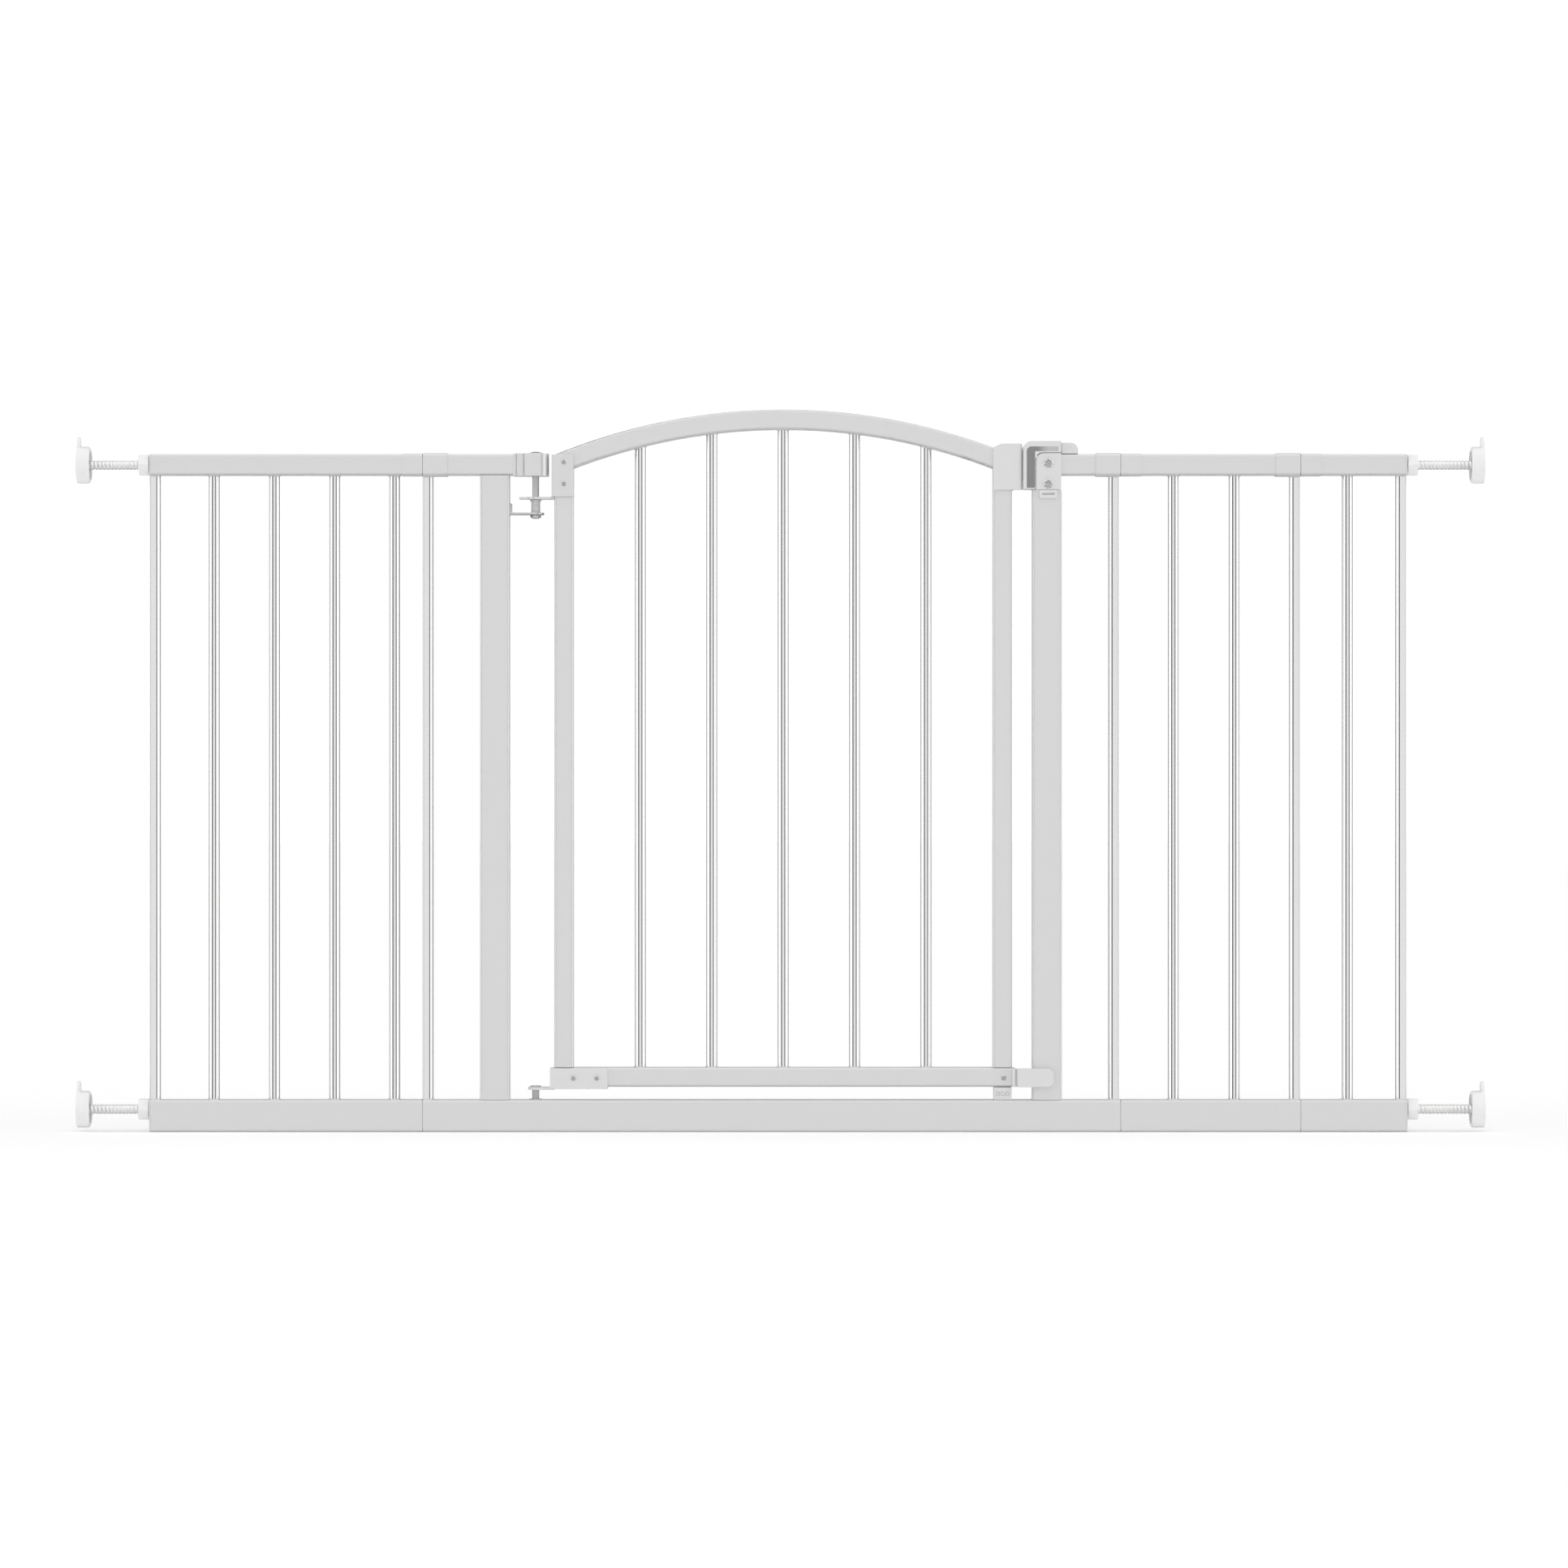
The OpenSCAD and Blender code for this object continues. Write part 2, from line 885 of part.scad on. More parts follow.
// outline of the door stop's tongue, with its right corners rounded
module tongue_outline() {
    tall = stop_top - door_low;
    translate([door_right, door_low])
        square([stop_end - stop_r - door_right, tall]);
    translate([stop_end - 2 * stop_r, door_low + stop_r])
        square([2 * stop_r, tall - 2 * stop_r]);
    for (z = [door_low + stop_r, stop_top - stop_r])
        translate([stop_end - stop_r, z])
            circle(stop_r);
}

module door_stop() {
    inset = 2 * tube_t + insert_gap;
    color(white)
    difference() {
        union() {
            front_plate(stop_front, stop_t)
                tongue_outline();
            translate([door_right, stop_front, door_low])
                cube([stop_flange, door_d / 2 - stop_front, stop_top - door_low]);
            level_bar(door_right - stop_insert, door_right + 1, door_low + door_rail_h / 2,
                      door_d - inset, door_rail_h - inset, 1);
        }
        translate([stop_groove_x, stop_front - 1, door_low - 1])
            cube([stop_groove_w, stop_groove_d + 1, stop_top - door_low + 2]);
        screw_holes();
    }
}

// ---- latch ----

// L-shaped outline of the release handle
module handle_outline() {
    difference() {
        union() {
            translate([handle_x, handle_low])
                square([housing_end - handle_x, handle_top - handle_r - handle_low]);
            translate([handle_x + handle_r, handle_low])
                square([housing_end - handle_x - handle_r, handle_top - handle_low]);
            translate([handle_x + handle_r, handle_top - handle_r])
                circle(handle_r);
        }
        translate([handle_column, handle_low - 1])
            square([housing_end, handle_arm - housing_r - handle_low + 1]);
        translate([handle_column + housing_r, handle_low - 1])
            square([housing_end, handle_arm - handle_low + 1]);
        translate([handle_column + housing_r, handle_arm - housing_r])
            circle(housing_r);
    }
}

// L-shaped band on the front of the release handle
module inlay_outline() {
    difference() {
        union() {
            translate([inlay_x, inlay_low])
                square([inlay_end - inlay_x, inlay_top - inlay_r - inlay_low]);
            translate([inlay_x + inlay_r, inlay_low])
                square([inlay_end - inlay_x - inlay_r, inlay_top - inlay_low]);
            translate([inlay_x + inlay_r, inlay_top - inlay_r])
                circle(inlay_r);
        }
        translate([inlay_x + inlay_w, inlay_low - 1])
            square([inlay_end, inlay_top - inlay_band - inlay_low + 1]);
    }
}

module release_handle() {
    color(white)
    difference() {
        union() {
            front_plate(-handle_d / 2, handle_d)
                handle_outline();
            for (x = stem_xs)
                translate([x, 0, stem_low])
                    cylinder(h = handle_arm + 1 - stem_low, r = stem_r);
        }
        translate([handle_x - 1, -bolt_d / 2 - body_gap, bolt_low - handle_lift - body_gap])
            cube([housing_x - handle_x + 1, bolt_d + 2 * body_gap, bolt_h + handle_lift + 2 * body_gap]);
        translate([tail_x - body_gap, -tail_d / 2 - body_gap, tail_low - body_gap])
            cube([housing_end, tail_d + 2 * body_gap, tail_h + 2 * body_gap]);
        front_plate(-handle_d / 2 - 1, inlay_deep + 1)
            inlay_outline();
    }
}

module grip_inlay() {
    color(grey)
    front_plate(-handle_d / 2 + inlay_deep - inlay_t, inlay_t)
        inlay_outline();
}

// outline of the thumb slider, with its top right corner rounded
module slider_outline() {
    wide = slider_end - slider_x;
    tall = slider_top - slider_low;
    translate([slider_x, slider_low])
        intersection() {
            square([wide, tall]);
            union() {
                square([wide - slider_r, tall]);
                square([wide, tall - slider_r]);
                translate([wide - slider_r, tall - slider_r])
                    circle(slider_r);
            }
        }
}

module thumb_slider() {
    color(white)
    difference() {
        union() {
            front_plate(-slider_d / 2, slider_d)
                slider_outline();
            translate([tail_x, -tail_d / 2, tail_low])
                cube([slider_x + 1 - tail_x, tail_d, tail_h]);
        }
        front_plate(-slider_d / 2 - 1, arrow_t + 1)
            polygon([
                [arrow_x, arrow_z - arrow_h / 2],
                [arrow_x + arrow_w, arrow_z],
                [arrow_x, arrow_z + arrow_h / 2]
            ]);
    }
}

module latch_bolt() {
    color(steel)
    translate([0, 0, bolt_low])
        linear_extrude(bolt_h)
            polygon([
                [bolt_x, -bolt_d / 2 + bolt_chamfer],
                [bolt_x + bolt_chamfer, -bolt_d / 2],
                [bolt_end, -bolt_d / 2],
                [bolt_end, bolt_d / 2],
                [bolt_x + bolt_chamfer, bolt_d / 2],
                [bolt_x, bolt_d / 2 - bolt_chamfer]
            ]);
}

// ---- tension fittings ----

// puts a fitting on its wall: the wall is at X = 0 and the gate lies towards -X
module at_wall(side, z) {
    translate([side * wall_x, 0, z])
        if (side < 0)
            mirror([1, 0, 0])
                children();
        else
            children();
}

// cylinder along X between two distances from the wall
module from_wall(near, far, r) {
    translate([-far, 0, 0])
        rotate([0, 90, 0])
            cylinder(h = far - near, r = r);
}

module threaded_rod(side, z) {
    color(steel)
    at_wall(side, z)
        union() {
            from_wall(foot_bore, rod_tail - rod_chamfer, spindle_r);
            from_wall(foot_bore + 1, rod_tail, spindle_r - rod_chamfer);
        }
}

module rubber_foot(side, z) {
    color(dark)
    at_wall(side, z)
        difference() {
            from_wall(cup_plate, foot_top, foot_r);
            from_wall(foot_bore, foot_top + 1, spindle_r);
        }
}

module wall_cup(side, z) {
    color(white)
    at_wall(side, z)
        difference() {
            union() {
                rotate([0, -90, 0])
                    rotate_extrude()
                        difference() {
                            union() {
                                square([cup_r, cup_t - cup_round]);
                                square([cup_r - cup_round, cup_t]);
                                translate([cup_r - cup_round, cup_t - cup_round])
                                    circle(cup_round);
                            }
                            translate([0, cup_plate])
                                square([cup_r - cup_rim, cup_t]);
                            translate([-cup_r, -1])
                                square([cup_r, cup_t + 2]);
                        }
                cup_tab();
            }
            translate([0, 0, cup_hole_z])
                from_wall(-1, cup_tab_t + 1, cup_hole_r);
        }
}

// tab that stands up from a wall cup
module cup_tab() {
    translate([0, 0, cup_tab_z])
        from_wall(0, cup_tab_t, tab_r);
    translate([-cup_tab_t, -tab_r, 0])
        cube([cup_tab_t, 2 * tab_r, cup_tab_z]);
}

module adjusting_nut(side, z) {
    far = side < 0 ? nut_left : nut_right;
    color(white)
    at_wall(side, z)
        difference() {
            translate([-far, 0, 0])
                rotate([0, 90, 0])
                    rotate([0, 0, 30])
                        cylinder(h = nut_t, r = nut_flats / 2 / cos(30), $fn = 6);
            from_wall(0, wall_x, spindle_r + run_gap);
        }
}

module rod_upper_left() { threaded_rod(-1, rail_z); }
module foot_upper_left() { rubber_foot(-1, rail_z); }
module cup_upper_left() { wall_cup(-1, rail_z); }
module nut_upper_left() { adjusting_nut(-1, rail_z); }
module rod_upper_right() { threaded_rod(1, rail_z); }
module foot_upper_right() { rubber_foot(1, rail_z); }
module cup_upper_right() { wall_cup(1, rail_z); }
module nut_upper_right() { adjusting_nut(1, rail_z); }
module rod_lower_left() { threaded_rod(-1, spindle_low_z); }
module foot_lower_left() { rubber_foot(-1, spindle_low_z); }
module cup_lower_left() { wall_cup(-1, spindle_low_z); }
module nut_lower_left() { adjusting_nut(-1, spindle_low_z); }
module rod_lower_right() { threaded_rod(1, spindle_low_z); }
module foot_lower_right() { rubber_foot(1, spindle_low_z); }
module cup_lower_right() { wall_cup(1, spindle_low_z); }
module nut_lower_right() { adjusting_nut(1, spindle_low_z); }

base_rail();
hinge_post();
latch_post();
rail_left();
rail_right();
end_bars();
panel_bars();
rail_sleeves();
rail_collars();
panel_joiners();
left_panel_top();
left_panel_base();
near_panel_top();
near_panel_base();
far_panel_top();
far_panel_base();
end_plugs();
hinge_block();
hinge_rod();
hinge_nut();
hinge_plate();
lower_cam();
hinge_bush();
latch_housing();
latch_screws();
latch_tab();
stop_block();
upper_cam();
arch_rail();
hinge_stile();
latch_stile();
door_rail();
door_bars();
top_bracket();
bottom_bracket();
bracket_screws();
hinge_pin();
door_cap();
door_stop();
release_handle();
grip_inlay();
thumb_slider();
latch_bolt();
rod_upper_left();
foot_upper_left();
cup_upper_left();
nut_upper_left();
rod_upper_right();
foot_upper_right();
cup_upper_right();
nut_upper_right();
rod_lower_left();
foot_lower_left();
cup_lower_left();
nut_lower_left();
rod_lower_right();
foot_lower_right();
cup_lower_right();
nut_lower_right();
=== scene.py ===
# %% [markdown]
# # A pressure-fitted safety gate
# A gate like this is held in a doorway by pressure: four threaded rods push rubber feet against
# the two sides. In the middle is a U-shaped frame with an arched door. Panels at its sides fill up
# the width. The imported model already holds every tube, hinge and fitting at its real size. This
# script gives them their finish, puts in the detail that a plain solid leaves out, such as screw
# threads and weld beads, and sets up a small studio.

# %% Load the frame
import json
import math

import bmesh
import bpy
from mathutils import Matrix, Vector


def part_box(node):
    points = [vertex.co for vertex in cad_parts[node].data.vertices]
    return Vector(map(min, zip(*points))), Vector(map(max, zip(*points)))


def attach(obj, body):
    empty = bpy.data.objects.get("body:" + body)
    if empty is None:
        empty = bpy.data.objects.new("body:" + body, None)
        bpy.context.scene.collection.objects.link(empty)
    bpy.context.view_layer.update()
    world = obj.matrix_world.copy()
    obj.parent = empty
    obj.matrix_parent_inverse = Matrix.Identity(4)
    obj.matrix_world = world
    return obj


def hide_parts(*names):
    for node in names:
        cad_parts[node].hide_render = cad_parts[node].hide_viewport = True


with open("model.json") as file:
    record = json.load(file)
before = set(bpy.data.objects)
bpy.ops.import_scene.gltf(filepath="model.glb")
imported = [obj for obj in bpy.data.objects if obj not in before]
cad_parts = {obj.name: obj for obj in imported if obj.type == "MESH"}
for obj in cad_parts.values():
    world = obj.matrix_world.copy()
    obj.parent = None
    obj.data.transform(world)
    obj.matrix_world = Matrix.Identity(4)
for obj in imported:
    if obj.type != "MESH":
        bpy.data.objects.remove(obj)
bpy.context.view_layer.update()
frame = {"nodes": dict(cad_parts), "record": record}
MM = 0.001

# %% [markdown]
# ## Writing node trees as sums
# Finishes and repeated shapes are both made of nodes. Clicking them together is slow to read
# later, so one small class stands for a node's output: adding or multiplying it puts in the Math
# node. A second class, the bench, makes any other node from its type, its settings and its sockets.

# %% Wires and the bench
class Wire:
    """A node's output. A sum written with it adds the Math nodes that it needs."""

    def __init__(self, bench, socket):
        self.bench = bench
        self.socket = socket

    def maths(self, operation, *others):
        sockets = dict(enumerate((self, *others)))
        return self.bench.node("ShaderNodeMath", {"operation": operation}, sockets)

    def __add__(self, other):
        return self.maths("ADD", other)

    def __sub__(self, other):
        return self.maths("SUBTRACT", other)

    def __rsub__(self, other):
        return self * -1 + other

    def __mul__(self, other):
        return self.maths("MULTIPLY", other)

    def __truediv__(self, other):
        return self.maths("DIVIDE", other)

    def __abs__(self):
        return self.maths("ABSOLUTE")

    __radd__ = __add__
    __rmul__ = __mul__

    def step(self, start, end):
        """0 below start, 1 above end, and a smooth rise between them."""
        return self.bench.node(
            "ShaderNodeMapRange",
            {"interpolation_type": "SMOOTHSTEP"},
            {"Value": self, "From Min": start, "From Max": end},
        )

    def parts(self):
        """The x, y and z of a vector."""
        split = self.bench.node("ShaderNodeSeparateXYZ", {}, {0: self}).socket.node
        return [Wire(self.bench, socket) for socket in split.outputs]


class Bench:
    """Adds nodes to one tree."""

    def __init__(self, tree):
        self.tree = tree

    def feed(self, socket, value):
        if isinstance(value, Wire):
            self.tree.links.new(value.socket, socket)
        else:
            socket.default_value = value

    def node(self, kind, settings=None, sockets=None, out=0):
        made = self.tree.nodes.new(kind)
        for name, value in (settings or {}).items():
            setattr(made, name, value)
        for name, value in (sockets or {}).items():
            self.feed(made.inputs[name], value)
        return Wire(self, made.outputs[out])


# %% [markdown]
# ## Finishes
# Every finish starts from the same few needs: a pattern at a real size, two tones to mix and a
# relief for the light to catch. Patterns are laid out in the object's own metres, so an orange
# peel of 7 mm is 7 mm on a bar and on the arch alike.

# %% A finish
class Finish(Bench):
    """One material, built round the Principled shader."""

    def __init__(self, name, **constants):
        self.material = bpy.data.materials.new(name)
        self.material.use_nodes = True
        super().__init__(self.material.node_tree)
        self.shader = self.tree.nodes["Principled BSDF"]
        self.place = self.node("ShaderNodeTexCoord", out="Object")
        self.surface(**constants)

    def surface(self, **sockets):
        for name, value in sockets.items():
            self.feed(self.shader.inputs[name.replace("_", " ")], value)

    def speckle(self, grain, detail=2.0, stretch=(1, 1, 1)):
        """Cloudy noise from 0 to 1, with patches about as wide as grain, in metres."""
        place = self.node("ShaderNodeMapping", {}, {"Vector": self.place, "Scale": stretch})
        sockets = {"Vector": place, "Scale": 1 / grain, "Detail": detail}
        return self.node("ShaderNodeTexNoise", {}, sockets)

    def tint(self, first, second, share):
        """A colour between two, mixed by share."""
        ends = [end if isinstance(end, Wire) else (*end, 1) for end in (first, second)]
        sockets = {"Factor": share, 6: ends[0], 7: ends[1]}
        return self.node("ShaderNodeMix", {"data_type": "RGBA"}, sockets, out=2)

    def relief(self, height, depth, strength=1.0):
        """Bumps of the given depth, in metres."""
        sockets = {"Strength": strength, "Distance": depth, "Height": height}
        self.surface(Normal=self.node("ShaderNodeBump", {}, sockets))


def grey(value, warmth=0.0):
    """A neutral colour, a touch warmer where warmth is above nothing."""
    return (value, value * (1 - warmth / 2), value * (1 - warmth))


# %% [markdown]
# ### Powder coat
# The tubes are steel with a baked powder coat. Powder melts into a skin that isn't quite flat: the
# light shows slow waves, the orange peel. A picture of paint would repeat and blur close up, so the
# waves are noise. A finer noise, the grit, changes only how glossy the coat is. The long rails have
# a satin coat and the bars a glossier one with more metal flake in it.

# %% Powder coat
PEEL_WAVE = 7 * MM
GRIT_GRAIN = 1.2 * MM
CLOUD_WIDTH = 90 * MM
DUST_WIDTH = 6 * MM


def powder_coat(name, tone, flake, gloss, peel_depth):
    coat = Finish(name, Metallic=flake)
    peel = coat.speckle(PEEL_WAVE, detail=0)
    grit = coat.speckle(GRIT_GRAIN, detail=0)
    cloud = coat.speckle(CLOUD_WIDTH, detail=3)
    dust = coat.speckle(DUST_WIDTH).step(0.55, 0.8)
    clean = coat.tint(grey(tone * 0.975), grey(tone, 0.004), cloud)
    coat.surface(
        Base_Color=coat.tint(clean, grey(tone * 0.8, 0.05), dust * 0.05),
        Roughness=gloss + cloud * 0.04 + grit * 0.02 + dust * 0.02,
    )
    coat.relief(peel, peel_depth)
    return coat.material


rail_paint = powder_coat(
    "satin_powder_coat", tone=0.70, flake=0.4, gloss=0.26, peel_depth=0.010 * MM
)
bar_paint = powder_coat(
    "gloss_powder_coat", tone=0.76, flake=0.88, gloss=0.06, peel_depth=0.004 * MM
)
print("powder coats:", rail_paint.name, bar_paint.name)

# %% [markdown]
# ### Moulded plastic
# Caps, cups and the latch are moulded. The mould is etched, so the skin has a fine grain that
# hides finger marks, and thick spots cool slower and come out a little glossier. Handling rubs
# the grain down in patches.

# %% Moulded plastic
ETCH_GRAIN = 1.2 * MM
ETCH_DEPTH = 0.01 * MM
SINK_WIDTH = 14 * MM
RUB_WIDTH = 5 * MM


def moulded(name, tone, gloss, warmth=0.0):
    skin = Finish(name)
    grain = skin.speckle(ETCH_GRAIN, detail=1)
    sink = skin.speckle(SINK_WIDTH)
    rubbed = skin.speckle(RUB_WIDTH, detail=4).step(0.5, 0.8)
    skin.surface(
        Base_Color=skin.tint(grey(tone * 0.97, warmth), grey(tone, warmth), sink),
        Roughness=gloss + grain * 0.08 + sink * 0.05 - rubbed * 0.06,
        Specular_IOR_Level=0.45,
    )
    skin.relief(grain, ETCH_DEPTH, strength=0.8)
    return skin.material


white_plastic = moulded("moulded_white", tone=0.72, gloss=0.30)
cam_plastic = moulded("bearing_plastic", tone=0.62, gloss=0.26, warmth=0.02)
fitting_plastic = moulded("moulded_bright_white", tone=0.86, gloss=0.26)

# %% [markdown]
# The pad on the latch handle is a softer, greyer plastic. Its upright is painted darker than its
# long arm, a painted shade that stands in for the shading of a curved face, so its tone drifts
# along x over a few centimetres.

# %% Grip pad
UPRIGHT_TONE = 0.23
ARM_TONE = 0.5
grip_plastic = moulded("moulded_grip", tone=0.30, gloss=0.30)
pad = Bench(grip_plastic.node_tree)
corner, pad_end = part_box("grip_inlay")
along = pad.node("ShaderNodeTexCoord", out="Object").parts()[0]
# painted shade: the tone rises from the dark upright to the paler arm
painted_shade_share = along.step(corner.x + 10 * MM, corner.x + 24 * MM)
tones = {"Factor": painted_shade_share, 6: (*grey(UPRIGHT_TONE), 1), 7: (*grey(ARM_TONE), 1)}
skin = grip_plastic.node_tree.nodes["Principled BSDF"]
pad.feed(
    skin.inputs["Base Color"],
    pad.node("ShaderNodeMix", {"data_type": "RGBA"}, tones, out=2),
)
print("grip pad, mm:", [round(v / MM, 1) for v in pad_end - corner])

# %% [markdown]
# ### Zinc plate
# Rods, pins, plates and screws are zinc plated. Plating grows in soft patches of brighter and
# duller metal over the fine lines that drawing or turning left behind, so the finish is a blotchy
# roughness over stretched noise. The threaded rods are brighter and about half as metallic, so
# that their crests stay paler and mirror less of the dark cards.

# %% Zinc plate
LINE_GRAIN = 0.4 * MM
LINE_DEPTH = 0.01 * MM
BLOOM_WIDTH = 3.5 * MM
LINES_ALONG_X = (0.1, 1, 1)
LINES_ALONG_Z = (1, 1, 0.1)


def zinc(name, dull, bright, metal, stretch):
    plate = Finish(name, Metallic=metal)
    lines = plate.speckle(LINE_GRAIN, detail=2, stretch=stretch)
    bloom = plate.speckle(BLOOM_WIDTH, detail=3)
    plate.surface(
        Base_Color=plate.tint(grey(dull), grey(bright, 0.01), bloom),
        Roughness=0.24 + bloom * 0.12 + lines * 0.10,
    )
    plate.relief(lines, LINE_DEPTH, strength=0.6)
    return plate.material


zinc_plate = zinc("zinc_plate", dull=0.58, bright=0.74, metal=0.9, stretch=LINES_ALONG_Z)
rod_zinc = zinc("rod_zinc", dull=0.82, bright=0.92, metal=0.5, stretch=LINES_ALONG_X)
print("zinc plates:", zinc_plate.name, rod_zinc.name)

# %% [markdown]
# ### Rubber
# The feet that press on the walls are pale grey rubber, which leaves no marks on paint. It is dull,
# and bloomed paler where the wax in it has come to the skin.

# %% Rubber
WAX_WIDTH = 4 * MM
RUBBER_GRAIN = 0.4 * MM
RUBBER_DEPTH = 0.03 * MM


def rubber(name):
    skin = Finish(name, Specular_IOR_Level=0.3)
    bloom = skin.speckle(WAX_WIDTH, detail=5)
    grain = skin.speckle(RUBBER_GRAIN)
    skin.surface(
        Base_Color=skin.tint(grey(0.50), grey(0.60), bloom),
        Roughness=0.62 + bloom * 0.2,
    )
    skin.relief(grain, RUBBER_DEPTH)
    return skin.material


foot_rubber = rubber("foot_rubber")
finishes = {
    "rail_paint": rail_paint,
    "bar_paint": bar_paint,
    "white_plastic": white_plastic,
    "grip_plastic": grip_plastic,
    "cam_plastic": cam_plastic,
    "fitting_plastic": fitting_plastic,
    "zinc_steel": zinc_plate,
    "rod_zinc": rod_zinc,
    "foot_rubber": foot_rubber,
}

# %% [markdown]
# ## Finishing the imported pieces
# The record says which finish every node has. The tubes, bars and posts have their right shape
# already, so they only change their material.

# %% Put the finishes on
slot_of = {part["node"]: part["material_slot"] for part in frame["record"]["subparts"]}
body_of = {
    node: body
    for body, nodes in frame["record"]["behaviour"]["bodies"].items()
    for node in nodes
}
for node, name in slot_of.items():
    for place in frame["nodes"][node].material_slots:
        place.material = finishes[name]
print("nodes finished:", len(slot_of))

# %% [markdown]
# ## Easing the edges
# Nothing that is moulded or folded has a knife edge. A small round on each edge is what catches
# a thin line of light and makes a part look solid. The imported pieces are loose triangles, so a
# copy is joined up first, its flat faces are made whole, and then a bevel rounds what is sharp.

# %% Ease a piece
SHARP = math.radians(30)
FLAT = math.radians(0.6)
WELD = 0.002 * MM


def joined(node):
    """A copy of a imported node's mesh with its triangles joined into whole faces."""
    shape = bmesh.new()
    shape.from_mesh(frame["nodes"][node].data)
    bmesh.ops.remove_doubles(shape, verts=shape.verts, dist=WELD)
    bmesh.ops.dissolve_limit(shape, angle_limit=FLAT, verts=shape.verts, edges=shape.edges)
    mesh = bpy.data.meshes.new(node)
    shape.to_mesh(mesh)
    shape.free()
    return mesh


def new_piece(name, mesh):
    piece = bpy.data.objects.new(name, mesh)
    bpy.context.scene.collection.objects.link(piece)
    return piece


def bake_modifiers(piece):
    """Turns what the modifiers make into the piece's plain mesh."""
    graph = bpy.context.evaluated_depsgraph_get()
    mesh = bpy.data.meshes.new_from_object(piece.evaluated_get(graph))
    piece.modifiers.clear()
    piece.data = mesh
    return piece


def dress(piece, slot, body, *replaced):
    """Gives a new piece its finish and its body, and hides the nodes that it stands for."""
    piece.data.materials.clear()
    piece.data.materials.append(finishes[slot])
    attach(piece, body)
    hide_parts(*replaced)
    return piece


def eased(node, width, rounds=2):
    piece = new_piece(node + "_eased", joined(node))
    bevel = piece.modifiers.new("ease", "BEVEL")
    bevel.width = width
    bevel.segments = rounds
    bevel.limit_method = "ANGLE"
    bevel.angle_limit = SHARP
    bevel.use_clamp_overlap = False
    bevel.loop_slide = False
    bevel.harden_normals = True
    bevel.miter_outer = "MITER_ARC"
    piece.data.shade_smooth()
    bake_modifiers(piece)
    return dress(piece, slot_of[node], body_of[node], node)


# %% [markdown]
# A bevel walks along edges, and where a part has pockets and curved outlines those edges crowd
# together. The mouldings and the door's brackets go another way: their skin is rebuilt from tiny
# cubes, 0.3 to 0.5 mm across, and smoothed. Flat faces stay flat and every edge comes out softly
# rounded. Each entry gives the cube's size and how many times the skin is smoothed.

# %% Soften a moulding
def softened(node, grain, passes):
    piece = new_piece(node + "_soft", joined(node))
    skin = piece.modifiers.new("skin", "REMESH")
    skin.mode = "VOXEL"
    skin.voxel_size = grain
    rub = piece.modifiers.new("rub", "SMOOTH")
    rub.factor = 0.5
    rub.iterations = passes
    bake_modifiers(piece)
    piece.data.shade_smooth()
    print(piece.name, "faces:", len(piece.data.polygons))
    return dress(piece, slot_of[node], body_of[node], node)


CORNERS = ("upper_left", "upper_right", "lower_left", "lower_right")
MOULDINGS = {
    "hinge_block": (0.3 * MM, 3),
    "top_bracket": (0.4 * MM, 4),
    "bottom_bracket": (0.4 * MM, 4),
    "release_handle": (0.5 * MM, 8),
    "latch_housing": (0.5 * MM, 6),
    "thumb_slider": (0.3 * MM, 3),
    "door_cap": (0.5 * MM, 8),
    "door_stop": (0.5 * MM, 6),
}
for corner in CORNERS:
    MOULDINGS["cup_" + corner] = (0.5 * MM, 6)
for node, (grain, passes) in MOULDINGS.items():
    softened(node, grain, passes)

# %% [markdown]
# The small pieces have a round that suits their size: the adjusting nuts and the feet have the
# biggest ones, the hinge's nut and pin the smallest.

# %% The eased pieces
ROUNDS = {
    "stop_block": 0.5 * MM,
    "hinge_plate": 0.4 * MM,
    "latch_tab": 0.4 * MM,
    "latch_bolt": 0.5 * MM,
    "end_plugs": 0.5 * MM,
    "hinge_nut": 0.3 * MM,
    "hinge_pin": 0.3 * MM,
}
for corner in CORNERS:
    ROUNDS["nut_" + corner] = 0.9 * MM
    ROUNDS["foot_" + corner] = 0.8 * MM
for node, width in ROUNDS.items():
    eased(node, width)
print("eased pieces:", len(ROUNDS))

# %% [markdown]
# ## Threaded rods
# Each rod has a coarse rolled thread, 4 mm from crest to crest. A thread is a rule, not a drawing:
# at every point of the rod the radius depends only on how far along and how far round it is. So
# Geometry Nodes take a plain cylinder with many rings and move each point in or out by that rule.
# That keeps the rod one closed skin, which a ridge wound round a core wouldn't be.

# %% The thread's node tree
class Shape(Bench):
    """A Geometry Nodes tree with named inputs, which ends in one material."""

    def __init__(self, name, **inputs):
        super().__init__(bpy.data.node_groups.new(name, "GeometryNodeTree"))
        face = self.tree.interface
        face.new_socket("Geometry", in_out="OUTPUT", socket_type="NodeSocketGeometry")
        inputs = {"Geometry": "Geometry", **inputs, "Material": "Material"}
        self.keys = {
            label: face.new_socket(
                label, in_out="INPUT", socket_type="NodeSocket" + kind
            ).identifier
            for label, kind in inputs.items()
        }
        self.entry = self.tree.nodes.new("NodeGroupInput")

    def given(self, label):
        return Wire(self, self.entry.outputs[label])

    def close(self, geometry):
        """Ends the tree: plain geometry, smooth, in the given material."""
        solid = self.node("GeometryNodeRealizeInstances", {}, {0: geometry})
        smooth = self.node("GeometryNodeSetShadeSmooth", {}, {0: solid})
        painted = {"Geometry": smooth, "Material": self.given("Material")}
        end = self.tree.nodes.new("NodeGroupOutput")
        self.feed(end.inputs[0], self.node("GeometryNodeSetMaterial", {}, painted))

    def make(self, name, mesh, **values):
        """A plain piece from the tree, run on a mesh with these values."""
        piece = new_piece(name, mesh)
        run = piece.modifiers.new(name, "NODES")
        run.node_group = self.tree
        for label, value in values.items():
            run[self.keys[label]] = value
        return bake_modifiers(piece)


